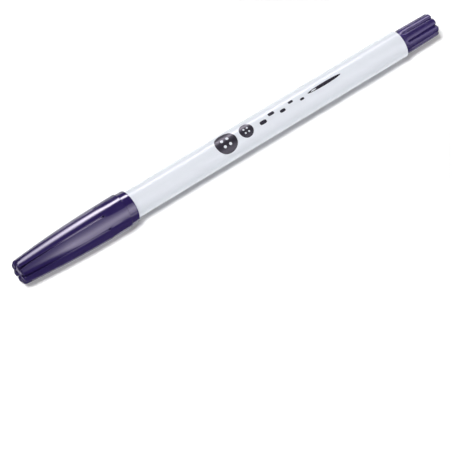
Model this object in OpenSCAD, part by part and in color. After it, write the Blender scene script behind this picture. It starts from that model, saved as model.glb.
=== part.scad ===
// Capped fibre-tip fabric marker, lying along X with the cap at -X.
// Each piece is drawn along its own Z, with Z = 0 where the cap's mouth meets the barrel's shoulder,
// and is then laid down by on_axis(). Lengths are in millimetres.

/* [Barrel] */
// Outside diameter of the straight barrel
barrel_d = 8; // [7:0.1:10]
// Length of barrel that shows between the cap and the tail plug
barrel_show = 91.6; // [60:0.2:120]
// Wall of the barrel tube
barrel_wall = 0.8; // [0.6:0.05:1]
// Radius of the rounded rear edge
barrel_edge = 0.3; // [0.1:0.05:0.4]
// Depth of the shoulder where the barrel narrows to enter the cap
neck_step = 0.3; // [0.2:0.05:0.5]
// Length of the neck that enters the cap
neck_len = 12; // [8:0.5:16]
// Wall of the neck
neck_wall = 0.75; // [0.6:0.05:0.9]
// Length of thick wall behind the shoulder
neck_root = 1.5; // [1:0.1:3]
// Bevel at the front of the neck
neck_bevel = 0.3; // [0.1:0.05:0.5]
// Number of ribs in the bore that centre the reservoir
rib_count = 4; // [3:1:6]
// Width of each rib
rib_w = 0.6; // [0.4:0.1:1]

/* [Nose and nib] */
// Thickness of the nose's flange, which stops on the neck
flange_t = 1.2; // [0.8:0.1:2]
// Set-back of the flange's rim inside the neck's
flange_inset = 0.2; // [0.1:0.05:0.4]
// Length of the nose's cone
cone_len = 8; // [5:0.5:12]
// Diameter of the nose's straight end
nose_d = 4.2; // [3.6:0.1:5]
// Length of the nose's straight end
nose_len = 4.5; // [4:0.1:8]
// Bevel round the nose's front face
nose_bevel = 0.3; // [0.1:0.05:0.5]
// Diameter of the nib
nib_d = 2; // [1.5:0.1:2.4]
// Length of nib that shows in front of the nose
nib_show = 3.5; // [2.5:0.1:5]
// Length of the nib's taper
nib_taper = 2.4; // [1.2:0.1:2.4]
// Radius of the nib's round point
nib_point = 0.4; // [0.2:0.05:0.5]
// Length of nib inside the reservoir
nib_dip = 6; // [3:0.5:10]
// Radius of each air channel beside the nib
vent_r = 0.2; // [0.1:0.05:0.3]
// Number of air channels beside the nib
vent_count = 3; // [2:1:5]

/* [Reservoir] */
// Air space between the reservoir and the barrel's bore
air_gap = 0.45; // [0.3:0.05:0.6]
// Thickness of the film round the fibre rod
film_t = 0.12; // [0.1:0.01:0.2]
// Outside diameter of the breather tube
breather_d = 0.9; // [0.7:0.05:1]
// Bore of the breather tube
breather_bore = 0.5; // [0.3:0.05:0.6]

/* [Cap] */
// Wall of the cap over its bore at its widest
cap_wall = 1.35; // [1:0.05:2]
// Length of the cap's tip in front of the liner
cap_tip_len = 6.3; // [4:0.1:12]
// Wall of the cap's tip round the liner's line
cap_tip_wall = 0.8; // [0.7:0.05:1.2]
// Length of the narrower lip at the mouth
lip_len = 2.8; // [1.5:0.1:4]
// Step down from the cap's body to its lip
lip_step = 0.27; // [0.1:0.01:0.4]
// Length of the bevel that makes that step
lip_bevel = 0.25; // [0.2:0.05:1]
// Drop in the lip's radius towards the mouth
lip_drop = 0.12; // [0:0.01:0.2]
// Radius of the mouth's round edge
mouth_edge = 0.35; // [0.1:0.05:0.4]
// Lead-in bevel of the mouth's bore
mouth_bevel = 0.15; // [0.05:0.05:0.2]
// Number of grooves along the cap
groove_count = 8; // [5:1:10]
// Plain length of the cap between the grooves and the mouth
groove_stop = 9.5; // [6:0.5:16]
// Width of each groove
groove_w = 0.5; // [0.3:0.05:0.7]
// Depth of the grooves where they stop
groove_depth = 0.35; // [0.2:0.05:0.5]
// Depth of the grooves at the tip
groove_tip_depth = 0.7; // [0.4:0.05:0.8]
// Depth of the flat on each panel where the cap is widest, which keeps the marker from rolling
flat_depth = 0.1; // [0.05:0.01:0.15]
// Depth of the hollow among the fingers at the tip
recess = 0.6; // [0.3:0.05:1]
// Thickness of the fingers round that hollow
finger_t = 1.4; // [1.3:0.05:1.6]
// Radius of the fingers' round ends
finger_edge = 0.6; // [0.2:0.05:0.6]
// Thickness of the tip's end wall
tip_end_t = 1.2; // [0.8:0.1:2]
// Width of the ledge that the liner's end sits on
liner_ledge = 1.2; // [0.8:0.1:1.6]
// Turn of the cap on the barrel, in degrees
cap_turn = 11.25; // [0:0.25:45]

/* [Cap liner] */
// Wall of the liner
liner_wall = 0.6; // [0.4:0.05:0.8]
// Length of nose that the liner seals round
seal_len = 3.2; // [2:0.1:3.6]
// Room round the nib inside the liner
nib_room = 0.7; // [0.4:0.05:0.8]
// Room in front of the nib's point
nib_gap = 0.8; // [0.4:0.1:1.5]
// Thickness of the liner's closed end
liner_end_t = 0.8; // [0.5:0.1:1.5]

/* [Tail plug] */
// Length of the plug's head behind the barrel
plug_show = 11.3; // [7:0.1:16]
// How far the head's collar overlaps the barrel's rear face
plug_seat = 0.2; // [0.1:0.05:0.3]
// Length of that collar between the barrel and the ridges
plug_collar = 1.1; // [0.8:0.1:3]
// How far the ridges stand up from the collar
plug_rise = 0.25; // [0.1:0.05:0.3]
// Drop in the ridges' radius towards the plug's end
plug_drop = 0.2; // [0:0.05:0.3]
// Length of the plug inside the barrel
plug_shank = 8; // [5:0.5:12]
// Wall of the hollow plug
plug_wall = 0.7; // [0.5:0.05:0.8]
// Thickness of the plug's closed end
plug_end_t = 1.4; // [1:0.1:2]
// Radius of the ridges' round ends, and bevel at the plug's front
plug_edge = 0.5; // [0.1:0.05:0.5]
// Number of ridges round the plug
ridge_count = 8; // [6:1:9]
// Radius of each ridge's round back
ridge_back_r = 1.75; // [1.6:0.05:2.4]
// Radius of the groove between two ridges
plug_groove_r = 0.3; // [0.2:0.05:0.4]
// Depth of that groove below the ridges
plug_groove_depth = 0.65; // [0.5:0.05:0.7]
// Turn of the plug in the barrel, in degrees
plug_turn = 41.5; // [0:0.5:45]

/* [Clearances] */
// Running clearance between the cap's bore and the neck
cap_fit = 0.05; // [0.02:0.01:0.1]
// Running clearance between the liner and the nose
seal_fit = 0.03; // [0.02:0.01:0.08]
// Clearance of pieces that are pushed together and stay
push_fit = 0.02; // [0.01:0.01:0.03]
// Clearance of the cap's inside from the nose's shoulders
cap_clear = 0.8; // [0.5:0.1:1.5]
// Gap between the ribs' ends and the tail plug
rib_gap = 0.5; // [0.3:0.1:1]

/* [Hidden] */
$fn = 96;

violet = [0.19, 0.15, 0.36];
white = [0.90, 0.91, 0.94];
overlap = 1;
ridge_clear = 0.05;
curve_steps = 12;
edge_steps = 5;

// Radii from the barrel inwards
barrel_r = barrel_d / 2;
bore_r = barrel_r - barrel_wall;
neck_r = barrel_r - neck_step;
neck_bore_r = neck_r - neck_wall;
film_r = bore_r - air_gap;
core_r = film_r - film_t - push_fit;
nib_r = nib_d / 2;
nose_r = nose_d / 2;
breather_r = breather_d / 2;
breather_off = (core_r + nib_r) / 2;

// Radii from the nose outwards
seal_r = nose_r + seal_fit;
liner_r = seal_r + liner_wall;
pocket_r = liner_r + push_fit;
cap_bore_r = neck_r + cap_fit;
cap_r = cap_bore_r + cap_wall;
cap_tip_r = pocket_r + cap_tip_wall;
recess_r = cap_tip_r - finger_t;
collar_r = bore_r + plug_seat;
ridge_r = collar_r + plug_rise;
ridge_end_r = ridge_r - plug_drop;
plug_hollow_r = ridge_end_r - plug_groove_depth - plug_wall;

// Places along the axis, from the cap's tip to the plug's end
z_flange = -neck_len - flange_t;
z_cone = z_flange - cone_len;
z_nose = z_cone - nose_len;
z_nib = z_nose - nib_show;
z_liner_end = z_nib - nib_gap - liner_end_t;
z_tip = z_liner_end - cap_tip_len;
z_liner_mouth = z_nose + seal_len;
z_plug_front = barrel_show - plug_shank;
z_ridge = barrel_show + plug_collar;
z_end = barrel_show + plug_show;
axis_height = cap_r;
ridge_lean = atan(plug_drop / (z_end - z_ridge));

// The cap's side is an arc that runs level where it meets the lip
side_len = -lip_len - z_tip;
side_rise = cap_r - cap_tip_r;
side_arc_r = (side_len * side_len + side_rise * side_rise) / (2 * side_rise);

// Radius of the cap's side at height z
function cap_side(z) = cap_r - side_arc_r + sqrt(side_arc_r * side_arc_r - pow(z + lip_len, 2));

// Depth of the cap's grooves at height z
function groove_at(z) =
    groove_tip_depth + (groove_depth - groove_tip_depth) * (z - z_tip) / (-groove_stop - z_tip);

// Points of a round edge about a centre, from one angle to another
function edge(centre, r, from, to) =
    [for (i = [0 : edge_steps])
        let (a = from + (to - from) * i / edge_steps)
        centre + r * [cos(a), sin(a)]];

// Lays a piece drawn along Z down along X, resting at the cap's radius above Z = 0
module on_axis() {
    translate([-(z_tip + z_end) / 2, 0, axis_height])
        rotate([0, 90, 0])
            children();
}

// A solid turned from an outline of [radius, height] points
module turned(outline) {
    rotate_extrude() polygon(outline);
}

// A straight round rod or hole between two heights
module rod(r, z0, z1) {
    translate([0, 0, z0]) cylinder(r = r, h = z1 - z0);
}

// Children repeated evenly about the axis
module around(count, turn = 0) {
    for (i = [0 : count - 1])
        rotate([0, 0, turn + i * 360 / count])
            children();
}

module barrel() {
    rib_in = film_r + push_fit;
    color(white) on_axis() {
        turned(concat(
            [[neck_bore_r, -neck_len], [neck_r - neck_bevel, -neck_len], [neck_r, -neck_len + neck_bevel],
             [neck_r, 0], [barrel_r, 0]],
            edge([barrel_r - barrel_edge, barrel_show - barrel_edge], barrel_edge, 0, 90),
            [[bore_r, barrel_show], [bore_r, neck_root], [neck_bore_r, neck_root]]));
        around(rib_count)
            translate([rib_in, -rib_w / 2, neck_root])
                cube([bore_r - rib_in + barrel_wall / 2, rib_w, z_plug_front - rib_gap - neck_root]);
    }
}

module nib_holder() {
    plug_in_r = neck_bore_r - push_fit;
    flange_r = neck_r - flange_inset;
    color(white) on_axis() difference() {
        turned([[0, z_nose], [nose_r - nose_bevel, z_nose], [nose_r, z_nose + nose_bevel], [nose_r, z_cone],
                [flange_r - flange_inset, z_flange], [flange_r, z_flange], [flange_r, -neck_len],
                [plug_in_r, -neck_len], [plug_in_r, neck_root], [0, neck_root]]);
        rod(nib_r + push_fit, z_nose - overlap, neck_root + overlap);
        around(vent_count)
            translate([nib_r, 0, 0]) rod(vent_r, z_nose - overlap, neck_root + overlap);
    }
}

module nib() {
    // The point's arc runs smoothly into the taper
    slope = atan((nib_r - nib_point) / (nib_taper - nib_point));
    rear = neck_root + nib_dip;
    color([0.30, 0.24, 0.45]) on_axis()
        turned(concat(
            [[0, z_nib]],
            [for (p = edge([0, z_nib + nib_point], nib_point, -90, -slope)) if (p[0] > 0) p],
            [[nib_r, z_nib + nib_taper], [nib_r, rear - nib_r], [nib_r / 2, rear], [0, rear]]));
}

module reservoir_core() {
    color([0.36, 0.30, 0.52]) on_axis() difference() {
        rod(core_r, neck_root, z_plug_front);
        rod(nib_r + push_fit, neck_root - overlap, neck_root + nib_dip + push_fit);
        translate([breather_off, 0, 0])
            rod(breather_r + push_fit, neck_root - overlap, z_plug_front + overlap);
    }
}

module reservoir_film() {
    color([0.85, 0.86, 0.90, 0.5]) on_axis() difference() {
        rod(film_r, neck_root, z_plug_front);
        rod(film_r - film_t, neck_root - overlap, z_plug_front + overlap);
    }
}

module breather_tube() {
    color([0.80, 0.80, 0.82]) on_axis() translate([breather_off, 0, 0]) difference() {
        rod(breather_r, neck_root, z_plug_front);
        rod(breather_bore / 2, neck_root - overlap, z_plug_front + overlap);
    }
}

// The ridged head of the plug, with no grooves yet: round-backed ridges inside a turned outline, which stands
// just clear of their backs and rounds off their ends
module ridged_head() {
    intersection() {
        turned(concat(
            [[0, z_ridge]],
            edge([ridge_r + ridge_clear - plug_edge, z_ridge + plug_edge], plug_edge, -90, 0),
            edge([ridge_end_r + ridge_clear - plug_edge, z_end - plug_edge], plug_edge, 0, 90),
            [[0, z_end]]));
        union() {
            rod(plug_hollow_r / 2, z_ridge - overlap, z_end + overlap);
            around(ridge_count, plug_turn + 180 / ridge_count)
                translate([ridge_r - ridge_back_r, 0, z_ridge])
                    rotate([0, -ridge_lean, 0])
                        rod(ridge_back_r, -overlap, plug_show);
        }
    }
}

module tail_plug() {
    shank_r = bore_r - push_fit;
    z_groove = z_ridge + plug_edge + plug_groove_r;
    color(violet) on_axis() difference() {
        union() {
            turned([[0, z_plug_front], [shank_r - plug_edge, z_plug_front], [shank_r, z_plug_front + plug_edge],
                    [shank_r, barrel_show], [collar_r, barrel_show], [collar_r, z_ridge + plug_edge / 2],
                    [0, z_ridge + plug_edge / 2]]);
            ridged_head();
        }
        rod(plug_hollow_r, z_plug_front - overlap, z_end - plug_end_t);
        around(ridge_count, plug_turn)
            translate([ridge_r - plug_groove_depth + plug_groove_r, 0, z_groove])
                rotate([0, -ridge_lean, 0]) {
                    sphere(r = plug_groove_r);
                    cylinder(r = plug_groove_r, h = plug_show);
                }
    }
}

// One groove's cut: a slot whose floor follows the cap's side and which parts the fingers at the tip
module cap_groove() {
    z0 = z_tip;
    z1 = -groove_stop;
    floor_points = [for (i = [0 : curve_steps])
        let (z = z0 + (z1 - z0) * i / curve_steps)
        [cap_side(z) - groove_at(z), z]];
    rotate([90, 0, 0])
        linear_extrude(height = groove_w, center = true)
            polygon(concat(
                [[recess_r, z0 - overlap], [recess_r, z0 + recess]],
                [for (p = floor_points) if (p[1] > z0 + recess) p],
                [[cap_r + overlap, z1], [cap_r + overlap, z0 - overlap]]));
}

// One flat's cut: a plane along the axis, which shaves a panel where the cap is widest
module cap_flat() {
    translate([cap_r - flat_depth, -cap_r / 2, -lip_len - side_len / 2])
        cube([flat_depth + overlap, cap_r, side_len / 2 + lip_bevel]);
}

module cap_shell() {
    side = [for (i = [0 : curve_steps])
        let (z = z_tip + finger_edge + (side_len - finger_edge) * i / curve_steps)
        [cap_side(z), z]];
    lip_r = cap_r - lip_step;
    mouth_r = lip_r - lip_drop;
    tip_core_r = pocket_r - liner_ledge;
    inner_edge = finger_t - finger_edge;
    color(violet) on_axis() difference() {
        turned(concat(
            [[0, z_tip + recess]],
            [[recess_r, z_tip + recess], [recess_r, z_tip + inner_edge / 2]],
            [[recess_r + inner_edge / 2, z_tip]],
            edge([cap_side(z_tip + finger_edge) - finger_edge, z_tip + finger_edge], finger_edge, -90, 0),
            side,
            [[lip_r, -lip_len + lip_bevel]],
            edge([mouth_r - mouth_edge, -mouth_edge], mouth_edge, 0, 90),
            [[cap_bore_r + mouth_bevel, 0], [cap_bore_r, -mouth_bevel], [cap_bore_r, z_flange - cap_clear],
             [pocket_r, z_liner_mouth], [pocket_r, z_liner_end], [tip_core_r, z_liner_end],
             [tip_core_r, z_tip + recess + tip_end_t], [0, z_tip + recess + tip_end_t]]));
        around(groove_count, cap_turn)
            cap_groove();
        around(groove_count, cap_turn + 180 / groove_count)
            cap_flat();
    }
}

module cap_liner() {
    z_step = z_nose - nib_gap / 2;
    chamber_r = nib_r + nib_room;
    color([0.88, 0.88, 0.90]) on_axis()
        turned([[seal_r + liner_wall / 2, z_liner_mouth], [liner_r, z_liner_mouth],
                [liner_r, z_liner_end], [0, z_liner_end], [0, z_liner_end + liner_end_t],
                [chamber_r, z_liner_end + liner_end_t], [chamber_r, z_step], [seal_r, z_step],
                [seal_r, z_liner_mouth - liner_wall / 2]]);
}

barrel();
nib_holder();
nib();
reservoir_core();
reservoir_film();
breather_tube();
tail_plug();
cap_shell();
cap_liner();
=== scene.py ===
# %% [markdown]
# # A capped fabric marker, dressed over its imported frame
# The marker lies along X with its cap at -X, as it was constructed. The frame gives every piece its place
# and its main size, so the looks made here sit on the same axis with no fitting. Lengths are written in
# millimetres, and one factor turns them into Blender's metres.

# %% Load the frame
import math

import bpy
import numpy as np
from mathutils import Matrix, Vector


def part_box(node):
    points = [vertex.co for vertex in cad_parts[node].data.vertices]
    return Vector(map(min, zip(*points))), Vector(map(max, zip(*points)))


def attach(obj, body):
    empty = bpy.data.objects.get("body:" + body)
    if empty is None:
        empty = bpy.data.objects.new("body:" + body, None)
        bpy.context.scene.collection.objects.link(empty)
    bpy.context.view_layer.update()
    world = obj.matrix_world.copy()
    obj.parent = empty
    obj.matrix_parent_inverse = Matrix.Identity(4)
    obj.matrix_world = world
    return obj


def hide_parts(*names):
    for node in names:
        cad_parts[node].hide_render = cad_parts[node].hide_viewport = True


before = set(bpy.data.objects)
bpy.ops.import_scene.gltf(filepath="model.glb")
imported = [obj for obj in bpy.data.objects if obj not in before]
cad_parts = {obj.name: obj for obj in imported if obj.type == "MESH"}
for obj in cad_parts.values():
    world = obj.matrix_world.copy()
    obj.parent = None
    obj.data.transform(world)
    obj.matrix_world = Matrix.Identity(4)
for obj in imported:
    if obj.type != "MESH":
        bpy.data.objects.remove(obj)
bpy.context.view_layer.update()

MM = 0.001

# %% [markdown]
# The frame's boxes hold the few places that the rest hangs on: the cap's tip and mouth, the ends of the
# barrel, the plug, the nose, the nib and the liner, and the height of the axis that all of them share.

# %% Main places along the marker
(tip_x, _, cap_bottom), (mouth_x, cap_r, cap_top) = (np.array(c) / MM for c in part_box("cap_shell"))
(neck_x, _, _), (rear_x, barrel_r, _) = (np.array(c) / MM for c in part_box("barrel"))
(plug_front_x, _, _), (end_x, _, _) = (np.array(c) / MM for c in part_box("tail_plug"))
(nose_x, _, _), (nose_rear_x, flange_r, _) = (np.array(c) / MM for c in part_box("nib_holder"))
(nib_x, _, _), (nib_rear_x, nib_r, _) = (np.array(c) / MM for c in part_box("nib"))
(liner_end_x, _, _), (liner_mouth_x, liner_r, _) = (np.array(c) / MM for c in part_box("cap_liner"))
axis_z = (cap_bottom + cap_top) / 2
print(f"tip {tip_x:.1f}, mouth {mouth_x:.1f}, rear {rear_x:.1f}, end {end_x:.1f}, axis at {axis_z:.2f}")

# %% [markdown]
# ## Surfaces from two parameters
# Every piece of this marker is round about one axis, so every piece here is a profile carried round that
# axis. A modelling tool would spin an outline; here the outline and the turn are two arrays, and numpy
# makes the whole skin at once. That leaves the radius free to change with the angle, which is how grooves
# and ridges are cut.

# %% Carry a profile round the axis
def around_axis(x, r, angle):
    """Points (x, -r sin a, axis + r cos a): the angle starts at the top and turns towards -Y. In metres."""
    x, r, angle = np.broadcast_arrays(x, r, angle)
    return np.stack([x, -r * np.sin(angle), axis_z + r * np.cos(angle)], axis=-1) * MM


def even_angles(count):
    """Angles of a full turn in equal steps."""
    return np.linspace(0, 2 * np.pi, count, endpoint=False)


# %% [markdown]
# A moulded edge is never quite sharp. A bevel modifier would round all edges alike, so a profile is
# written as on a drawing instead: a list of corners, each with the radius of its own fillet, from which
# the arcs are worked out.

# %% Profiles with rounded corners
def rounded(corners, steps=6, ring=False):
    """A profile through corners of (x, r, fillet). Each fillet is an arc that touches both sides of its
    corner: it starts fillet / tan(half angle) before the corner, and its centre lies fillet / sin(half angle)
    inside."""
    places = np.array([corner[:2] for corner in corners], float)
    points = []
    for i, (_, _, fillet) in enumerate(corners):
        at_end = not ring and i in (0, len(corners) - 1)
        if fillet == 0 or at_end:
            points.append(places[i][None])
            continue
        back = places[i - 1] - places[i]
        ahead = places[(i + 1) % len(corners)] - places[i]
        back, ahead = back / np.linalg.norm(back), ahead / np.linalg.norm(ahead)
        half = np.arccos(np.clip(back @ ahead, -1, 1)) / 2
        inside = (back + ahead) / np.linalg.norm(back + ahead)
        sideways = (back - ahead) / np.linalg.norm(back - ahead)
        sweep = np.linspace(1, -1, steps + 1)[:, None] * (np.pi / 2 - half)
        centre = places[i] + inside * fillet / np.sin(half)
        points.append(centre + fillet * (np.sin(sweep) * sideways - np.cos(sweep) * inside))
    return np.concatenate(points).T


# %% [markdown]
# A grid becomes a mesh by joining each point to its neighbours. A tube's rows close into a ring; a piece
# that reaches the axis is closed by one point at each pole. The signed volume, the sum of a . (b x c) / 6
# over all triangles, is positive only when the faces point outwards, so it decides which way round they
# go.

# %% Close a grid into a skin, and skins into a piece
def skin(points, ring=False):
    """Faces of a grid [row, column, xyz] whose columns run round the axis: (points, quads, triangles)."""
    rows, columns, _ = points.shape
    here = np.arange(rows * columns).reshape(rows, columns)
    beside = np.roll(here, -1, axis=1)
    points = points.reshape(-1, 3)
    fans = np.zeros((0, 3), int)
    if ring:
        quads = np.stack([here, beside, np.roll(beside, -1, axis=0), np.roll(here, -1, axis=0)], axis=-1)
    else:
        quads = np.stack([here[:-1], beside[:-1], beside[1:], here[1:]], axis=-1)
        poles = np.stack([points[here[0]].mean(axis=0), points[here[-1]].mean(axis=0)])
        first, last = np.full(columns, len(points)), np.full(columns, len(points) + 1)
        fans = np.concatenate([np.stack([first, beside[0], here[0]], axis=-1),
                               np.stack([last, here[-1], beside[-1]], axis=-1)])
        points = np.concatenate([points, poles])
    quads = quads.reshape(-1, 4)
    corners = points[np.concatenate([quads[:, [0, 1, 2]], quads[:, [0, 2, 3]], fans])]
    volume = np.einsum("ij,ij->i", corners[:, 0], np.cross(corners[:, 1], corners[:, 2])).sum() / 6
    if volume < 0:
        quads, fans = quads[:, ::-1], fans[:, ::-1]
    return points, quads, fans


def make_piece(name, skins, crease=40):
    """One object at the origin from one or more skins. It is shaded smooth, except where two faces meet at
    more than crease degrees."""
    starts = np.cumsum([0] + [len(points) for points, _, _ in skins])
    points = np.concatenate([points for points, _, _ in skins])
    faces = [face for (_, quads, fans), start in zip(skins, starts)
             for face in (quads + start).tolist() + (fans + start).tolist()]
    mesh = bpy.data.meshes.new(name)
    mesh.from_pydata(points.tolist(), [], faces)
    mesh.polygons.foreach_set("use_smooth", np.ones(len(faces), bool))
    mesh.set_sharp_from_angle(angle=math.radians(crease))
    piece = bpy.data.objects.new(name, mesh)
    bpy.context.scene.collection.objects.link(piece)
    print(f"{name}: {len(points)} points, {len(faces)} faces")
    return piece


# %% [markdown]
# ## The cap
# The cap is one moulding: a slim arc from a fingered tip to a lip at the mouth, with eight grooves that
# run back from between the fingers and stop short of the lip. Its sizes come first, with two formulas that
# the rest is read from: the radius of its side, and the radius at the bottom of a groove.

# %% The cap's sizes
tip_r, level_len, tip_wall = 3.55, 3, 1.8
lip_len, lip_step, lip_bevel, lip_drop = 2.8, 0.27, 0.15, 0.12
recess, recess_r, finger_r, finger_edge, finger_len = 0.3, 1.4, 1.7, 0.8, 1.6
groove_count, groove_turn, groove_stop = 8, math.radians(13.25), 9.2
groove_depth, groove_tip_depth, gap_depth, gap_inset = 0.35, 0.7, 1.3, 0.15
cap_bore_r, cap_bore_len, mouth_bevel, pocket_r, core_r = 3.75, 14, 0.15, 2.75, 1.55

recess_x, gap_x, blind_x = tip_x + recess, tip_x + gap_depth, tip_x + tip_wall
step_x, groove_end_x, bore_end_x = mouth_x - lip_len, mouth_x - groove_stop, mouth_x - cap_bore_len
level_x = step_x - level_len
side_len, side_rise = level_x - tip_x, cap_r - tip_r
side_arc = (side_len ** 2 + side_rise ** 2) / (2 * side_rise)
print(f"cap {mouth_x - tip_x:.1f} mm long, with a side arc of radius {side_arc:.0f} mm")


def cap_side(x):
    """The side's radius: an arc from the tip, which runs level for the last stretch before the lip."""
    return cap_r - side_arc + np.sqrt(side_arc ** 2 - np.maximum(level_x - x, 0) ** 2)


def groove_floor(x):
    """The radius at the bottom of a groove, which gets deeper towards the tip."""
    depth = np.interp(x, [tip_x, groove_end_x], [groove_tip_depth, groove_depth])
    return cap_side(x) - depth


# %% [markdown]
# Cutting slots with booleans would leave hard edges and poor faces. Here the cap has two profiles with the
# same rows, the crest along a panel and the valley along a groove. Between the fingers the valley lies
# further back as well as further in, which opens the gaps at the tip.

# %% The cap's two profiles
def ease(value, start, end):
    """0 before start, 1 after end, and the smooth S of 3 t^2 - 2 t^3 in between."""
    t = np.clip((value - start) / (end - start), 0, 1)
    return t * t * (3 - 2 * t)


pole_r = 0.3
side_start_x, side_end_x, lip_start_x = tip_x + finger_len, step_x - 0.6, step_x - 0.5
notch_x, past_notch_x = groove_end_x - 0.8, groove_end_x + 0.2
finger_end = rounded([(recess_x, pole_r, 0), (recess_x, recess_r, 0.15), (tip_x, finger_r, 0.3),
                      (tip_x, cap_side(tip_x), finger_edge), (side_start_x, cap_side(side_start_x), 0)])
side_x = np.concatenate([np.linspace(side_start_x, notch_x, 52)[1:],
                         np.linspace(notch_x, past_notch_x, 24)[1:],
                         np.linspace(past_notch_x, side_end_x, 14)[1:]])
lip_and_bore = rounded([(lip_start_x, cap_side(lip_start_x), 0), (step_x, cap_r, 0.08),
                        (step_x + lip_bevel, cap_r - lip_step, 0.08),
                        (mouth_x, cap_r - lip_step - lip_drop, 0.35),
                        (mouth_x, cap_bore_r + mouth_bevel, 0.04),
                        (mouth_x - mouth_bevel, cap_bore_r, 0.04), (bore_end_x, cap_bore_r, 0.4),
                        (liner_mouth_x, pocket_r, 0.3), (liner_end_x, pocket_r, 0.05),
                        (liner_end_x, core_r, 0.05), (blind_x, core_r, 0.3), (blind_x, pole_r, 0)])
crest_x = np.concatenate([finger_end[0], side_x, lip_and_bore[0]])
crest_r = np.concatenate([finger_end[1], cap_side(side_x), lip_and_bore[1]])
valley_x, valley_r = crest_x.copy(), crest_r.copy()
finger_rows = finger_end.shape[1]
fingers, grooved = slice(1, finger_rows - 1), slice(finger_rows - 1, finger_rows + len(side_x))
along_finger = np.linspace(0, 1, finger_rows - 2)
valley_x[fingers] = recess_x + (gap_x - recess_x) * ease(along_finger, 0, 0.25)
valley_r[fingers] = recess_r - gap_inset + along_finger * (groove_floor(gap_x) - recess_r + gap_inset)
valley_r[grooved] = groove_floor(crest_x[grooved])
print(f"cap profiles: {len(crest_x)} rows, {finger_rows} of them on the fingers")

# %% [markdown]
# Each column slides from crest to valley by how close it is to a groove. Columns gather at the grooves, so
# their round shoulders get the faces that they need. Seen from outside, a finger's end is round too: its
# columns lie further back, the closer they are to a groove.

# %% Columns for grooves and fingers
def grooved_angles(count, turn, per_pitch=48, gather=3.0):
    """Columns gathered at each groove: half a pitch times sinh(gather t) / sinh(gather), for t from -1 to 1.
    Returns each column's angle and its angle from its groove."""
    t = np.linspace(-1, 1, per_pitch, endpoint=False)
    offset = np.pi / count * np.sinh(gather * t) / np.sinh(gather)
    grooves = turn + 2 * np.pi / count * np.arange(count)
    return (grooves[:, None] + offset).ravel(), np.tile(offset, count)


def fingertip(share):
    """How far a finger's end lies back, as a share of its round: the quarter circle 1 - sqrt(1 - share^2),
    where share is 0 in the finger's middle and 1 at the groove beside it."""
    return 1 - np.sqrt(1 - np.clip(share, 0, 1) ** 2)


# %% [markdown]
# A groove is broad among the fingers, thins to a fine line over the middle and ends in a small pit. The
# panels between grooves are a little flatter than the round they were cut from, which squeezes the
# reflections on them. They fade back to round between the grooves' ends and the lip.

# %% The cap's skin
panel_flat, shoulder, shoulder_w, finger_tip = 0.08, 0.03, 0.4, 1.0
pit, pit_back, pit_spread, pit_wider, stop_len = 0.45, 0.5, 0.35, 0.13, 0.35
angle, from_groove = grooved_angles(groove_count, groove_turn)
row_x, row_r = crest_x[:, None], crest_r[:, None]
across = np.abs(from_groove)[None] * row_r
outside = np.zeros(len(crest_x))
outside[fingers] = ease(crest_r[fingers], recess_r + 0.3, tip_r)
outside[grooved] = 1
outside = outside[:, None]
stopped = 1 - ease(row_x, groove_end_x - stop_len, groove_end_x)
notch = np.exp(-((row_x - groove_end_x + pit_back) / pit_spread) ** 2)
middle_x = (tip_x + groove_end_x) / 2
slot_half = np.interp(row_x, [tip_x, tip_x + 2, middle_x], [0.34, 0.25, 0.12]) + pit_wider * notch
slot_deep = np.maximum(np.interp(row_x, [tip_x + 3, middle_x], [1, 0.1]), notch)
slot = (1 - ease(across / slot_half, 0.3, 1.15)) * stopped * slot_deep
nearness = 1 - np.abs(from_groove)[None] / (np.pi / groove_count)
ridge = panel_flat * nearness ** 2 * (1 - ease(row_x, groove_end_x - 1, groove_end_x + 4)) * outside
soften = shoulder * np.cos(np.clip(across / shoulder_w, 0, 1) * np.pi / 2) ** 2 * stopped * outside
set_back = fingertip(nearness) * outside * (1 - ease(row_x, tip_x + 0.3, tip_x + 3.5))
cap_x = row_x + slot * (valley_x - crest_x)[:, None] + finger_tip * set_back
cap_radius = row_r + ridge - soften + slot * ((valley_r - crest_r)[:, None] - pit * notch)
cap = make_piece("grooved_cap", [skin(around_axis(cap_x, cap_radius, angle[None]))])
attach(cap, "cap")
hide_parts("cap_shell")

# %% [markdown]
# ## The liner in the cap
# Deep in the cap sits a soft cup that closes on the nose, so that the nib can't dry out. It shows only
# when the cap is off, as a pale ring down in the bore. It could be turned from a cylinder and hollowed;
# one profile that goes up the outside and back down the inside gives both walls at once.

# %% The liner's skin
seal_r, chamber_r, seal_bevel, seal_past_nose, liner_wall = 2.13, 1.7, 0.3, 0.4, 0.8
seal_end_x, chamber_end_x = nose_x - seal_past_nose, liner_end_x + liner_wall
liner_profile = rounded([(liner_end_x, pole_r, 0), (liner_end_x, liner_r, 0.15),
                         (liner_mouth_x, liner_r, 0.08), (liner_mouth_x, seal_r + seal_bevel, 0.06),
                         (liner_mouth_x - seal_bevel, seal_r, 0.06), (seal_end_x, seal_r, 0.1),
                         (seal_end_x, chamber_r, 0.1), (chamber_end_x, chamber_r, 0.3),
                         (chamber_end_x, pole_r, 0)])
liner = make_piece("soft_liner", [skin(around_axis(*liner_profile[:, :, None], even_angles(128)[None]))])
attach(liner, "cap")
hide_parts("cap_liner")

# %% [markdown]
# ## The barrel
# The barrel is a straight tube with a narrower neck that goes into the cap, and low ribs in its bore that
# keep the ink reservoir off the wall. Its profile is a loop, so the skin is a ring of rows, and the ribs
# are four waves in the bore's radius.

# %% The barrel's skin
def from_nearest(angle, count, r):
    """Distance round a circle of radius r from the nearest of count even places, the first at angle 0: what
    is left of the angle after whole pitches, to either side."""
    return np.abs((angle * count / (2 * np.pi) + 0.5) % 1 - 0.5) * 2 * np.pi / count * r


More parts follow.
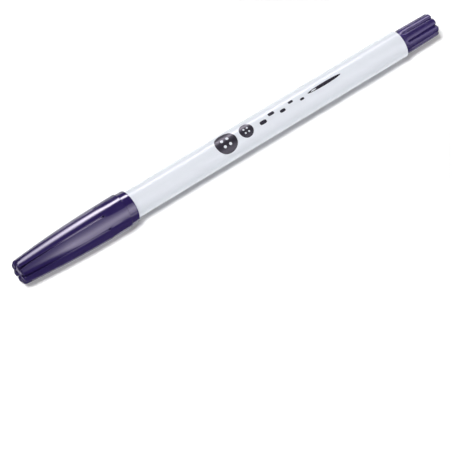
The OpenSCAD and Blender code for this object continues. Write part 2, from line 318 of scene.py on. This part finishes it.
neck_r, neck_bore_r, bore_r, neck_root, plug_gap = 3.7, 2.95, 3.2, 1.5, 0.5
rib_in_r, rib_half, rib_edge, rib_count = 2.77, 0.3, 0.08, 4
root_x, rib_end_x = mouth_x + neck_root, plug_front_x - plug_gap
barrel_profile = rounded([(neck_x, neck_bore_r, 0.1), (neck_x, neck_r, 0.3), (mouth_x, neck_r, 0.06),
                          (mouth_x, barrel_r, 0.08), (rear_x, barrel_r, 0.35), (rear_x, bore_r, 0.1),
                          (rib_end_x + 0.3, bore_r, 0), (rib_end_x, bore_r, 0), (root_x + 0.1, bore_r, 0),
                          (root_x, bore_r, 0), (root_x, neck_bore_r, 0)], ring=True)
barrel_x, barrel_radius = barrel_profile[:, :, None]
turn = even_angles(256)[None]
in_bore = np.isclose(barrel_radius, bore_r) & (barrel_x <= rib_end_x) & (barrel_x > root_x)
from_rib = from_nearest(turn, rib_count, bore_r)
ribs = (1 - ease(from_rib, rib_half - rib_edge, rib_half + rib_edge)) * in_bore
barrel_skin = skin(around_axis(barrel_x, barrel_radius - (bore_r - rib_in_r) * ribs, turn), ring=True)
barrel = make_piece("white_barrel", [barrel_skin])
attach(barrel, "pen_body")
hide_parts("barrel")

# %% [markdown]
# ## The tail plug
# The plug closes the barrel's rear. Its head has eight strongly rounded ridges, like a bundle of fingers.
# The ridges rise from a lower collar and are rounded at both ends. First comes its profile along a ridge:
# a hollow shank that is pressed into the barrel, the collar, and the head.

# %% The plug's profile
push_fit = 0.02
plug_count, plug_turn = 8, math.radians(41.5)
collar_r, ridge_r, ridge_end_r, ridge_arc = bore_r + 0.2, 3.65, 3.45, 2.1
collar_len, hollow_r, end_wall, ridge_tip = 1.1, 2.1, 1.4, 0.6
ridge_x, hollow_end_x = rear_x + collar_len, end_x - end_wall
shank = rounded([(hollow_end_x, pole_r, 0), (hollow_end_x, hollow_r, 0.3), (plug_front_x, hollow_r, 0.1),
                 (plug_front_x, bore_r - push_fit, 0.4), (rear_x, bore_r - push_fit, 0)])
head_start = rounded([(rear_x, collar_r, 0), (rear_x + 0.4, collar_r + 0.02, 0.3),
                      (ridge_x, ridge_r - 0.02, 0.6), (ridge_x + 0.6, ridge_r - 0.01, 0)])
head_x = np.linspace(ridge_x + 0.6, end_x - 0.8, 30)[1:]
head_r = np.interp(head_x, [ridge_x, end_x], [ridge_r, ridge_end_r])
head_end = rounded([(end_x - 0.7, ridge_end_r + 0.01, 0), (end_x, ridge_end_r, 0.55), (end_x, 1.6, 0),
                    (end_x, pole_r, 0)], steps=8)
plug_x = np.concatenate([shank[0], head_start[0], head_x, head_end[0]])[:, None]
plug_r = np.concatenate([shank[1], head_start[1], head_r, head_end[1]])[:, None]
in_head = (np.arange(len(plug_x)) >= shank.shape[1])[:, None]
print(f"plug profile: {len(plug_x)} rows, {in_head.sum()} of them on the head")

# %% [markdown]
# Eight round rods could be joined for the head, but their seams would be hard to blend into the collar.
# Here each ridge is an arc of its own, with a smaller radius than the plug's, given as a change of the
# plug's radius with the angle. A narrow groove in the shape of a V parts it from the next.

# %% The plug's skin
angle, from_groove = grooved_angles(plug_count, plug_turn, per_pitch=40, gather=2.2)
from_ridge = np.pi / plug_count - np.abs(from_groove)[None]
lobe_centre = ridge_r - ridge_arc
lobe = lobe_centre * np.cos(from_ridge) + np.sqrt(ridge_arc ** 2 - (lobe_centre * np.sin(from_ridge)) ** 2)
on_ridge = ease(plug_x, ridge_x - 0.5, ridge_x + 0.5) * ease(plug_r, 1.4, 2.8) * in_head
lobed_r = plug_r - (ridge_r - lobe) * on_ridge
across = np.abs(from_groove)[None] * plug_r
groove_w = np.interp(plug_x, [ridge_x, end_x], [0.34, 0.45])
vee = np.interp(plug_x, [ridge_x, end_x], [0.24, 0.42]) * np.clip(1 - across / groove_w, 0, 1)
vee = vee * on_ridge * ease(plug_x, ridge_x - 0.1, ridge_x + 0.35)
set_back = fingertip(from_ridge / (np.pi / plug_count)) * on_ridge * ease(plug_x, end_x - 3, end_x - 0.4)
plug_skin = skin(around_axis(plug_x - ridge_tip * set_back, lobed_r - vee, angle[None]))
plug = make_piece("ridged_plug", [plug_skin])
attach(plug, "pen_body")
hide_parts("tail_plug")

# %% [markdown]
# ## The nose
# Under the cap a white nose is pressed into the neck and holds the fibre nib. Three fine channels beside
# the nib let air back into the reservoir. They could be cut with thin cylinders; here they are waves in
# the radius of the nose's bore, as the barrel's ribs are.

# %% The nose's skin
nose_r, nib_hole_r, vent_r, vent_count = 2.1, nib_r + push_fit, 0.2, 3
nose_len, flange_len, cone_step = 4.5, 1.2, 0.2
cone_x, flange_x = nose_x + nose_len, neck_x - flange_len
nose_profile = rounded([(nose_x, nib_hole_r, 0.06), (nose_x, nose_r, 0.3), (cone_x, nose_r, 1.5),
                        (flange_x, flange_r - cone_step, 0.1), (flange_x, flange_r, 0.12),
                        (neck_x, flange_r, 0.1), (neck_x, neck_bore_r - push_fit, 0),
                        (nose_rear_x, neck_bore_r - push_fit, 0.2),
                        (nose_rear_x, nib_hole_r, 0.06)], ring=True)
nose_px, nose_pr = nose_profile[:, :, None]
turn = even_angles(192)[None]
in_hole = nose_pr < nib_hole_r + 0.1
from_vent = from_nearest(turn - np.pi, vent_count, nib_r)
vents = vent_r * np.cos(np.clip(from_vent / vent_r, 0, 1) * np.pi / 2) ** 2 * in_hole
nose = make_piece("nib_nose", [skin(around_axis(nose_px, nose_pr + vents, turn), ring=True)])
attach(nose, "pen_body")
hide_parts("nib_holder")

# %% [markdown]
# ## The nib
# The nib is a rod of bonded fibre, ground to a short taper with a round point. Its rear is chamfered, so
# that it slides into the fibre rod behind it. It is plainly round, so one profile carried round the axis
# is enough.

# %% The nib's skin
point_r, point_round, taper_len, chamfer_len = 0.46, 0.38, 2.4, 1
nib_profile = rounded([(nib_x, 0.03, 0), (nib_x, point_r, point_round), (nib_x + taper_len, nib_r, 0.8),
                       (nib_rear_x - chamfer_len, nib_r, 0.2), (nib_rear_x, nib_r / 2, 0.1),
                       (nib_rear_x, 0.05, 0)], steps=8)
nib = make_piece("fibre_nib", [skin(around_axis(*nib_profile[:, :, None], even_angles(96)[None]))])
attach(nib, "pen_body")
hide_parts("nib")

# %% [markdown]
# ## The print on the barrel
# Such a marker carries a dark screen print. This one has a plain sewing design: two buttons, a line of
# running stitches that get smaller, and a needle. A texture would do it, but thin skins that follow the
# barrel stay sharp at any distance. Each mark is a flat outline wrapped on the barrel, one hair proud of
# it.

# %% Marks wrapped on the barrel
print_angle = math.radians(9)
ink_top, ink_bottom = 0.012, -0.02
inner_share = 0.04


def mark(centre_x, centre_arc, half_x, half_arc, square=2.0, lift=0.0, columns=64, rows=8):
    """A thin closed skin wrapped on the barrel. Its outline is the superellipse with half sizes half_x along
    the barrel and half_arc round it; square 2 is an ellipse, and more is boxier. The skin runs from the
    middle of its lower face out to the edge and back over its upper face."""
    t = even_angles(columns)[None]
    share = np.concatenate([np.linspace(inner_share, 1, rows), np.linspace(1, inner_share, rows)])[:, None]
    height = np.concatenate([np.full(rows, ink_bottom), np.full(rows, ink_top + lift)])[:, None]
    c, s = np.cos(t), np.sin(t)
    x = centre_x + share * half_x * np.sign(c) * np.abs(c) ** (2 / square)
    arc = centre_arc + share * half_arc * np.sign(s) * np.abs(s) ** (2 / square)
    return skin(around_axis(x, barrel_r + height, print_angle + arc / barrel_r))


# %% [markdown]
# The design is a short list of marks. The buttons' holes and the needle's eye are marks too, in the
# barrel's white: they lie a hair higher than the ink, which is simpler than cutting openings into it.

# %% Buttons, stitches and needle
buttons = [(-1.2, 3.3), (5.6, 2.1)]
hole_out, hole_r, opening_lift = 0.27, 0.13, 0.01
stitch_count, stitch_start, stitch_pitch, stitch_swing = 5, 11.0, 3.3, 0.5
stitch_half, stitch_thick, stitch_square = 1.1, 0.55, 3.5
needle_x, needle_half, needle_thick = 32.0, 5.6, 0.5
eye_in, eye_half, eye_thick = 2.0, 0.9, 0.16
stitch_places = stitch_start + stitch_pitch * np.arange(stitch_count)
stitch_fade = np.linspace(1, 0.6, stitch_count)
dark_marks = [mark(x, 0, r, r, columns=96, rows=14) for x, r in buttons]
dark_marks += [mark(x, stitch_swing * math.cos(i * np.pi), stitch_half * fade, stitch_thick * fade,
                    square=stitch_square)
               for i, (x, fade) in enumerate(zip(stitch_places, stitch_fade))]
dark_marks += [mark(needle_x, 0, needle_half, needle_thick, columns=128)]
light_marks = [mark(x + hole_out * dx * r, hole_out * da * r, hole_r * r, hole_r * r, lift=opening_lift,
                    columns=32, rows=4)
               for x, r in buttons for dx in (-1, 1) for da in (-1, 1)]
light_marks += [mark(needle_x - needle_half + eye_in, 0, eye_half, eye_thick, lift=opening_lift,
                     columns=48, rows=4)]
dark_print = make_piece("sewing_print", dark_marks)
light_print = make_piece("print_openings", light_marks)
for marks in (dark_print, light_print):
    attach(marks, "pen_body")

# %% [markdown]
# ## Finishes
# Each finish is a Principled shader, Blender's general model of a surface, with a base colour and a
# roughness, and with other sockets where it needs them. One helper sets them all, so that a plain finish
# is one line.

# %% A plain finish
def new_finish(name, colour, roughness, **sockets):
    """A material with its Principled shader set to constant values."""
    material = bpy.data.materials.new(name)
    material.use_nodes = True
    shader = material.node_tree.nodes["Principled BSDF"]
    shader.inputs["Base Color"].default_value = (*colour, 1)
    shader.inputs["Roughness"].default_value = roughness
    for socket, value in sockets.items():
        shader.inputs[socket.replace("_", " ")].default_value = value
    print(f"finish {name}: colour {colour}, roughness {roughness}")
    return material


def shades(colour, spread):
    """A darker and a lighter shade of one colour."""
    return [tuple(c * (1 - spread) for c in colour), tuple(c * (1 + spread) for c in colour)]


# %% [markdown]
# No real surface is quite even, so patterns go on top. Pictures wrapped on the pieces would do it, but
# noise has no seams and no pixels. It reads Object coordinates, so it is measured in the same millimetres
# as the piece. Clouds of it drive a tint between two colours, a range of roughness, or relief of a height.

# %% Patterns on a finish
noise_low, noise_high = 0.3, 0.7


def clouds(material, size, stretch=1.0, detail=2.0):
    """Noise about size mm across, drawn out along the marker by stretch."""
    tree = material.node_tree
    place, mapping, noise = (tree.nodes.new("ShaderNode" + kind)
                             for kind in ("TexCoord", "Mapping", "TexNoise"))
    mapping.inputs["Scale"].default_value = (1 / stretch, 1, 1)
    noise.inputs["Scale"].default_value = 1 / (size * MM)
    noise.inputs["Detail"].default_value = detail
    tree.links.new(place.outputs["Object"], mapping.inputs["Vector"])
    tree.links.new(mapping.outputs["Vector"], noise.inputs["Vector"])
    return noise.outputs[0]


def tint(material, pattern, dark, light):
    """Base colour that runs from dark to light with the pattern."""
    tree = material.node_tree
    ramp = tree.nodes.new("ShaderNodeValToRGB")
    for stop, place, colour in zip(ramp.color_ramp.elements, (noise_low, noise_high), (dark, light)):
        stop.position = place
        stop.color = (*colour, 1)
    tree.links.new(pattern, ramp.inputs["Fac"])
    tree.links.new(ramp.outputs["Color"], tree.nodes["Principled BSDF"].inputs["Base Color"])


def gloss(material, pattern, low, high):
    """Roughness that runs from low to high with the pattern."""
    tree = material.node_tree
    span = tree.nodes.new("ShaderNodeMapRange")
    span.inputs["From Min"].default_value, span.inputs["From Max"].default_value = noise_low, noise_high
    span.inputs["To Min"].default_value, span.inputs["To Max"].default_value = low, high
    tree.links.new(pattern, span.inputs["Value"])
    tree.links.new(span.outputs["Result"], tree.nodes["Principled BSDF"].inputs["Roughness"])


def relief(material, pattern, height):
    """Bump of that height in mm, on top of any relief that is there already."""
    tree = material.node_tree
    normal = tree.nodes["Principled BSDF"].inputs["Normal"]
    bump = tree.nodes.new("ShaderNodeBump")
    bump.inputs["Distance"].default_value = height * MM
    if normal.is_linked:
        tree.links.new(normal.links[0].from_socket, bump.inputs["Normal"])
    tree.links.new(pattern, bump.inputs["Height"])
    tree.links.new(bump.outputs["Normal"], normal)


# %% [markdown]
# The cap and plug are glossy violet polypropylene. Close up, such a moulding is never quite even: the
# pigment clouds a little, the polish varies, and long faint lines run the way it left the mould. The plug
# is pressed in and handled by its ridges, and its finish is duller.

# %% Violet plastic
violet = (0.0255, 0.0148, 0.093)
violet_plastic = new_finish("violet_plastic", violet, 0.1)
tint(violet_plastic, clouds(violet_plastic, 6, stretch=3), *shades(violet, 0.1))
gloss(violet_plastic, clouds(violet_plastic, 0.5, stretch=8), 0.06, 0.11)
relief(violet_plastic, clouds(violet_plastic, 0.35, stretch=40), 0.0006)
relief(violet_plastic, clouds(violet_plastic, 1.2), 0.0015)
cap.data.materials.append(violet_plastic)

violet_satin = new_finish("violet_satin", violet, 0.26, Specular_IOR_Level=0.27)
tint(violet_satin, clouds(violet_satin, 4, stretch=2), *shades(violet, 0.1))
gloss(violet_satin, clouds(violet_satin, 0.4, stretch=5), 0.22, 0.3)
relief(violet_satin, clouds(violet_satin, 0.3), 0.0015)
plug.data.materials.append(violet_satin)

# %% [markdown]
# The barrel is a bluish white, less shiny than the cap. Its faint lines run lengthwise, as a tube leaves
# its mould, so their noise is drawn out sixty times along the marker.

# %% White barrel
cool_white = (0.79, 0.82, 0.88)
barrel_white = new_finish("barrel_white", cool_white, 0.21, Specular_IOR_Level=0.15)
tint(barrel_white, clouds(barrel_white, 9, stretch=5), *shades(cool_white, 0.006))
gloss(barrel_white, clouds(barrel_white, 0.6, stretch=10), 0.18, 0.24)
relief(barrel_white, clouds(barrel_white, 0.4, stretch=60), 0.0006)
barrel.data.materials.append(barrel_white)

# %% [markdown]
# The print is a thin coat of near-black ink with the fine mottle of a screen. Its openings show the
# barrel's white, so they have the barrel's own finish.

# %% Print ink
ink = (0.014, 0.012, 0.02)
print_ink = new_finish("print_ink", ink, 0.35, Specular_IOR_Level=0.3)
tint(print_ink, clouds(print_ink, 0.25), *shades(ink, 0.3))
relief(print_ink, clouds(print_ink, 0.15), 0.001)
dark_print.data.materials.append(print_ink)
light_print.data.materials.append(barrel_white)

# %% [markdown]
# The nose is a satin white moulding, and the liner a softer, milky one that lets a little light in. The
# nib is bonded fibre stained by its ink. Fine noise drawn out along it, in colour and in relief, stands for
# its fibres, which would be far too many to model.

# %% Nose, liner and nib
satin_white = (0.8, 0.8, 0.84)
nose_white = new_finish("nose_white", satin_white, 0.35)
tint(nose_white, clouds(nose_white, 3), *shades(satin_white, 0.012))
gloss(nose_white, clouds(nose_white, 0.4), 0.3, 0.4)
relief(nose_white, clouds(nose_white, 0.25), 0.0012)
nose.data.materials.append(nose_white)

milky = (0.75, 0.75, 0.8)
liner_plastic = new_finish("liner_plastic", milky, 0.45, Subsurface_Weight=0.1, Subsurface_Scale=0.0005)
tint(liner_plastic, clouds(liner_plastic, 2), *shades(milky, 0.03))
relief(liner_plastic, clouds(liner_plastic, 0.3), 0.002)
liner.data.materials.append(liner_plastic)

stained = (0.16, 0.09, 0.32)
nib_fibre = new_finish("nib_fibre", stained, 0.85, Specular_IOR_Level=0.2)
tint(nib_fibre, clouds(nib_fibre, 0.09, stretch=25, detail=4), *shades(stained, 0.35))
relief(nib_fibre, clouds(nib_fibre, 0.07, stretch=30, detail=4), 0.03)
nib.data.materials.append(nib_fibre)

# %% [markdown]
# ## Inside the barrel
# The fibre rod, its film and the breather tube are sealed in. Their constructed solids are the right shape
# already, so they stay and only get their finishes: fibre soaked with ink, a clear film and a plain tube.

# %% Reservoir finishes
soaked = (0.2, 0.13, 0.4)
ink_fibre = new_finish("ink_fibre", soaked, 0.9, Specular_IOR_Level=0.2)
tint(ink_fibre, clouds(ink_fibre, 0.12, stretch=40, detail=4), *shades(soaked, 0.3))
relief(ink_fibre, clouds(ink_fibre, 0.1, stretch=40, detail=4), 0.04)

clear = (0.8, 0.8, 0.85)
clear_film = new_finish("clear_film", clear, 0.2, Transmission_Weight=0.7, IOR=1.3)
gloss(clear_film, clouds(clear_film, 1.5, stretch=4), 0.15, 0.3)
relief(clear_film, clouds(clear_film, 1.0, stretch=6), 0.01)

natural = (0.75, 0.75, 0.78)
tube_plastic = new_finish("tube_plastic", natural, 0.4)
tint(tube_plastic, clouds(tube_plastic, 1.5, stretch=8), *shades(natural, 0.03))
relief(tube_plastic, clouds(tube_plastic, 0.2, stretch=30), 0.002)

for node, material in (("reservoir_core", ink_fibre), ("reservoir_film", clear_film),
                       ("breather_tube", tube_plastic)):
    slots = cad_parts[node].material_slots
    slots[0].material = material
    print(f"{node}: {len(slots)} slot, now {material.name}")

# %% [markdown]
# ## Floor
# The marker was constructed lying level: the widest part of its cap touches the ground, and the thinner
# barrel stays about a millimetre above it. The floor is that ground, a sheet so large that no view shows
# its edge. It gives a soft shadow of even width from tip to plug.

# %% Floor
floor_half = 4000.0
floor_x, floor_y = np.meshgrid([-floor_half, floor_half], [-floor_half, floor_half])
floor_points = np.stack([floor_x, floor_y, np.full_like(floor_x, cap_bottom)], axis=-1).reshape(-1, 3) * MM
floor_mesh = bpy.data.meshes.new("floor")
floor_mesh.from_pydata(floor_points.tolist(), [], [(0, 1, 3, 2)])
floor = bpy.data.objects.new("floor", floor_mesh)
bpy.context.scene.collection.objects.link(floor)
print(f"floor at {cap_bottom:.2f} mm, {cap_r - barrel_r:.2f} mm under the barrel")

paper = (0.875, 0.875, 0.875)
floor_white = new_finish("floor_white", paper, 0.9, Specular_IOR_Level=0.0)
tint(floor_white, clouds(floor_white, 40), *shades(paper, 0.003))
floor_mesh.materials.append(floor_white)

# %% [markdown]
# A white sheet in a bright studio also takes light from everywhere. A little glow for the rays that show
# it, direct or mirrored, stands for that. The glow is painted light: far from the marker it keeps the sheet
# evenly white, and at the dark cap and plug it is a painted lightening of their shadow, which keeps it
# from going black. The white barrel lights the sheet beside it by itself, so the glow is left off in a
# square round the barrel.

# %% Floor glow
# Painted light: the glow whitens the floor and lightens the shadows of the cap and plug, but not round the
# barrel.
floor_glow, glow_edge = 0.24, 5
half_barrel, barrel_middle = (rear_x - mouth_x) / 2, (mouth_x + rear_x) / 2
tree = floor_white.node_tree
paths, place, split, along = (tree.nodes.new("ShaderNode" + kind)
                              for kind in ("LightPath", "TexCoord", "SeparateXYZ", "MapRange"))
centred, from_middle, from_side, from_marker = (tree.nodes.new("ShaderNodeMath") for _ in range(4))
either, any_of_three, strength = (tree.nodes.new("ShaderNodeMath") for _ in range(3))
centred.operation, centred.inputs[1].default_value = "SUBTRACT", barrel_middle * MM
from_middle.operation = from_side.operation = "ABSOLUTE"
from_marker.operation = either.operation = any_of_three.operation = "MAXIMUM"
strength.operation = "MULTIPLY"
along.inputs["From Min"].default_value = (half_barrel - glow_edge) * MM
along.inputs["From Max"].default_value = (half_barrel + glow_edge) * MM
along.inputs["To Min"].default_value, along.inputs["To Max"].default_value = 0, floor_glow
shader = tree.nodes["Principled BSDF"]
shader.inputs["Emission Color"].default_value = (1, 1, 1, 1)
for source, target in ((place.outputs["Object"], split.inputs["Vector"]),
                       (split.outputs["X"], centred.inputs[0]),
                       (centred.outputs[0], from_middle.inputs[0]),
                       (split.outputs["Y"], from_side.inputs[0]),
                       (from_middle.outputs[0], from_marker.inputs[0]),
                       (from_side.outputs[0], from_marker.inputs[1]),
                       (from_marker.outputs[0], along.inputs["Value"]),
                       (paths.outputs["Is Camera Ray"], either.inputs[0]),
                       (paths.outputs["Is Glossy Ray"], either.inputs[1]),
                       (either.outputs[0], any_of_three.inputs[0]),
                       (paths.outputs["Is Transmission Ray"], any_of_three.inputs[1]),
                       (any_of_three.outputs[0], strength.inputs[0]),
                       (along.outputs["Result"], strength.inputs[1]),
                       (strength.outputs[0], shader.inputs["Emission Strength"])):
    tree.links.new(source, target)
print(f"floor glow {floor_glow}, left off within {half_barrel:.1f} mm of the barrel's middle")

# %% [markdown]
# ## Studio light
# Three broad suns give the plain, even level: one for the floor and its soft contact shadow, one over the
# marker and one in front of it. A sun's strength is pi times the share of full light that it gives, so a
# white card facing it renders at that share. Light linking keeps the floor's sun off the marker and the
# other two off the floor.

# %% Suns
def add_sun(name, share, spread, towards, floor_only):
    """A sun whose light comes from the direction towards and is spread degrees wide. It lights the floor
    alone, or everything but the floor."""
    lamp = bpy.data.lights.new(name, "SUN")
    lamp.energy = math.pi * share
    lamp.angle = math.radians(spread)
    sun = bpy.data.objects.new(name, lamp)
    sun.rotation_mode = "QUATERNION"
    sun.rotation_quaternion = Vector(towards).to_track_quat("Z", "Y")
    sun.visible_camera = False
    sun.visible_glossy = False
    bpy.context.scene.collection.objects.link(sun)
    receivers = bpy.data.collections.new(name + "_receivers")
    receivers.objects.link(floor)
    receivers.collection_objects[0].light_linking.link_state = "INCLUDE" if floor_only else "EXCLUDE"
    sun.light_linking.receiver_collection = receivers
    print(f"{name}: {share} of full light, {spread} degrees wide")


add_sun("floor_sun", 1.08, 18, (-0.36, -0.12, 1), floor_only=True)
add_sun("top_sun", 0.62, 70, (0, 0.47, 1), floor_only=False)
add_sun("front_sun", 0.34, 80, (-0.2, -1, 1.2), floor_only=False)

# %% [markdown]
# The world is a dim room with a white horizon, so low views have a white background and plastic mirrors
# it. The height of a direction, from 0 at the horizon to 1 straight up, decides how bright it is.

# %% World
horizon_height, room_height = 0.1, 0.35
horizon_light, room_light = 1.0, 0.1
room = bpy.data.worlds.new("room")
bpy.context.scene.world = room
room.use_nodes = True
tree = room.node_tree
place = tree.nodes.new("ShaderNodeTexCoord")
split = tree.nodes.new("ShaderNodeSeparateXYZ")
height = tree.nodes.new("ShaderNodeMapRange")
height.interpolation_type = "SMOOTHSTEP"
height.inputs["From Min"].default_value, height.inputs["From Max"].default_value = horizon_height, room_height
height.inputs["To Min"].default_value, height.inputs["To Max"].default_value = horizon_light, room_light
tree.links.new(place.outputs["Generated"], split.inputs["Vector"])
tree.links.new(split.outputs["Z"], height.inputs["Value"])
tree.links.new(height.outputs["Result"], tree.nodes["Background"].inputs["Strength"])
tree.nodes["Background"].inputs["Color"].default_value = (1, 1, 1, 1)
print(f"world {horizon_light} at the horizon and {room_light} above")

# %% [markdown]
# ## Cloths round the marker
# Glossy plastic shows its surroundings, so the look of the cap is made by what it mirrors. A photographer
# hangs cloths round such an object, pale ones for its highlights and dark ones for depth of colour. Lamps
# would do for the highlights alone. Here a cloth is a sheet with a number on each of its points, its glow,
# and one material turns that number into light. Only reflections show the cloths.

# %% Cloths that only reflections show
cloth_light = bpy.data.materials.new("cloth_light")
cloth_light.use_nodes = True
tree = cloth_light.node_tree
tree.nodes.remove(tree.nodes["Principled BSDF"])
reading = tree.nodes.new("ShaderNodeAttribute")
reading.attribute_name = "glow"
light = tree.nodes.new("ShaderNodeEmission")
light.inputs["Color"].default_value = (0.99, 0.925, 1.06, 1)
tree.links.new(reading.outputs["Fac"], light.inputs["Strength"])
tree.links.new(light.outputs["Emission"], tree.nodes["Material Output"].inputs["Surface"])


def add_cloth(name, points, glow):
    """A stage sheet from a grid of points [row, column, xyz], with its own glow at each point."""
    rows, columns, _ = points.shape
    here = np.arange(rows * columns).reshape(rows, columns)
    faces = np.stack([here[:-1, :-1], here[1:, :-1], here[1:, 1:], here[:-1, 1:]], axis=-1).reshape(-1, 4)
    mesh = bpy.data.meshes.new(name)
    mesh.from_pydata(points.reshape(-1, 3).tolist(), [], faces.tolist())
    values = np.broadcast_to(glow, (rows, columns)).astype(np.float32).ravel()
    mesh.attributes.new("glow", "FLOAT", "POINT").data.foreach_set("value", values)
    mesh.materials.append(cloth_light)
    cloth = bpy.data.objects.new(name, mesh)
    bpy.context.scene.collection.objects.link(cloth)
    cloth.visible_camera = cloth.visible_diffuse = cloth.visible_shadow = False
    cloth.visible_transmission = cloth.visible_volume_scatter = False
    print(f"{name}: glow from {values.min():.2f} to {values.max():.2f}")


# %% [markdown]
# The light tent is a half tunnel of cloth over the marker. A point of it is given by its place along the
# marker and by its tilt from straight up in degrees, which is negative behind the marker. The camera looks
# along the marker a little, so a piece mirrors the tent further along than its own place. A strip behind
# the marker draws the long highlight. It is weaker towards the cap's tip, in the lip and in the plug, and
# a little higher beside the lip. Low behind it, a faint glow lights the cap's far edge.

# %% The tent's strip behind the marker
def hill(value, centre, half):
    """A smooth hill: cos^2 that falls to 0 at half on either side of the centre."""
    return np.cos(np.clip((value - centre) / half, -1, 1) * np.pi / 2) ** 2


tent_r, tent_half = 400, 600
tent_x = np.linspace(-tent_half, tent_half, 241)[:, None]
tilt = np.linspace(-90, 90, 181)[None]
seen_in_tip, seen_by_lip, seen_in_lip, seen_in_plug = -20, 88, 141, 185
strip_glow, tip_share, strip_dip = 24, 0.42, 0.3
strip_half = 19 - 4 * ease(tent_x, 40, 90)
strip_tilt = -50.5 + 4.5 * hill(tent_x, seen_by_lip, 13)
strip_dim = 1 - strip_dip * hill(tent_x, seen_in_lip, 25)
strip_dim = strip_dim * (1 - strip_dip * ease(tent_x, seen_in_plug, seen_in_plug + 20))
strip = strip_glow * hill(tilt, strip_tilt, strip_half)
strip = strip * (tip_share + (1 - tip_share) * ease(tent_x, seen_in_tip, 100)) * strip_dim
behind = (1 - ease(tilt, -78, -66)) * np.interp(tent_x, [25, 46, 72, 84, 90], [0, 0.8, 1.2, 1.5, 0])
print(f"strip {2 * strip_half.min():.0f} to {2 * strip_half.max():.0f} degrees wide")

# %% [markdown]
# In front of the marker glows a broad soft field. Its lower edge climbs towards the cap's tip, and again
# just before the lip. Near the lip the whole field lies a little lower. A weaker part of it reaches up
# over the top of the marker, for the upper panels of the cap.

# %% The tent's field in front
field_glow, edge_half = 6, 9
field_lower = 3 * hill(tent_x, 97, 25)
field = np.interp(tilt - field_lower, [14, 19, 33, 48, 55, 62, 75, 90],
                  [0, 0.25, 0.5, 0.97, 1, 0.85, 0.68, 0.5])
field = field_glow * field * np.interp(tent_x, [seen_in_tip, 7, 25, 46, 72], [0.27, 0.65, 1.08, 0.92, 0.92])
over_top = ease(tilt, -17.5, -6) * np.interp(tent_x, [seen_in_tip, 25, 46, 72, 79, 85],
                                             [0.6, 1.1, 1.4, 1.7, 0.9, 0])
field_edge = np.interp(tent_x, [seen_in_tip, 7, 25, 46, 72, 83, 89, 99, 115, seen_in_lip],
                       [44, 55, 65, 93, 80, 66, 84, 94, 94, 84])
field = np.maximum(field, over_top) * (1 - ease(tilt, field_edge - edge_half, field_edge + edge_half))
add_cloth("light_tent", around_axis(tent_x, tent_r, np.radians(tilt)), strip + behind + field)

# %% [markdown]
# A dark cloth lies on the floor in front, as a photographer lays one to keep the lower flank of a glossy
# object deep in colour. It is dark beside the cap and close to the marker. Further out it glows for the
# barrel and the plug, whose flanks are paler. The border between the two slants, because a reflection
# moves along the marker as it goes out.

# %% Dark cloth in front
front_dark, front_pale, slant, cloth_lift = 0.12, 2.6, 0.37, 0.25
cloth_x, cloth_out = np.meshgrid(np.linspace(-300, 400, 141), np.geomspace(6.5, tent_r, 50), indexing="ij")
cloth_z = np.full_like(cloth_x, cap_bottom + cloth_lift)
cloth_glow = front_dark + front_pale * ease(cloth_out, 12, 70) * ease(cloth_x - slant * cloth_out, -38, -30)
add_cloth("front_cloth", np.stack([cloth_x, -cloth_out, cloth_z], axis=-1) * MM, cloth_glow)

# %% [markdown]
# A second dark cloth lies off the cap's tip, so that the ends of the fingers don't mirror the white floor.
# One pale stripe across it draws the soft band among the fingers.

# %% Dark cloth off the tip
end_dark, stripe_pale, end_lift = 0.05, 1.05, 0.3
stripe = tip_x - np.array([3.9, 3.5, 1.45, 1.2])
cloth_x, cloth_y = np.meshgrid([-300, *stripe, tip_x + 3], [-6, 200], indexing="ij")
cloth_z = np.full_like(cloth_x, cap_bottom + end_lift)
cloth_glow = end_dark + np.interp(cloth_x, stripe, [0, stripe_pale, stripe_pale, 0])
add_cloth("end_cloth", np.stack([cloth_x, cloth_y, cloth_z], axis=-1) * MM, cloth_glow)

# %% [markdown]
# ## Camera
# A long lens far away keeps the perspective weak. The picture shows where the two ends of the axis fall,
# and that fixes the rest: the slope of the axis gives the azimuth once the elevation is chosen, its length
# gives the lens, and its place gives the point to aim at. Depth changes the answer slightly, so it is
# worked out a few times over.

# %% Where the camera stands
picture, rounds = 452, 6
tip_pixel, end_pixel = np.array([18.1, 273.5]), np.array([432.4, 24.0])
elevation, distance = math.radians(57), 1.5
middle = np.array([(tip_x + end_x) / 2, 0, axis_z]) * MM
ends = np.array([[tip_x, 0, axis_z], [end_x, 0, axis_z]]) * MM - middle
seen = (np.stack([tip_pixel, end_pixel]) - picture / 2) * [1, -1]
azimuth = 0.0
for _ in range(rounds):
    to_camera = np.array([math.sin(azimuth) * math.cos(elevation), -math.cos(azimuth) * math.cos(elevation),
                          math.sin(elevation)])
    right = np.array([math.cos(azimuth), math.sin(azimuth), 0])
    up = np.cross(to_camera, right)
    flat = seen * (distance - ends @ to_camera)[:, None]
    run, rise = flat[1] - flat[0]
    azimuth = -math.atan(rise / run / math.sin(elevation))
focal = run / ((ends[1] - ends[0]) @ right)
aim = middle + (ends[0] @ right - flat[0, 0] / focal) * right + (ends[0] @ up - flat[0, 1] / focal) * up
print(f"azimuth {math.degrees(azimuth):.2f}, aim {np.round(aim / MM, 1)}")

# %% [markdown]
# The answer goes into a Blender camera, whose lens is measured against the width of its sensor. The
# Standard view shows colours as they were set.

# %% Camera
lens = bpy.data.cameras.new("camera")
lens.sensor_width = 36
lens.lens = lens.sensor_width * focal / picture
lens.clip_start, lens.clip_end = 0.05, 20
camera = bpy.data.objects.new("camera", lens)
camera.location = aim + to_camera * distance
camera.rotation_mode = "QUATERNION"
camera.rotation_quaternion = Vector(-to_camera).to_track_quat("-Z", "Y")
bpy.context.scene.collection.objects.link(camera)
bpy.context.scene.camera = camera
bpy.context.scene.view_settings.view_transform = "Standard"
print(f"lens {lens.lens:.0f} mm, {distance} m away")
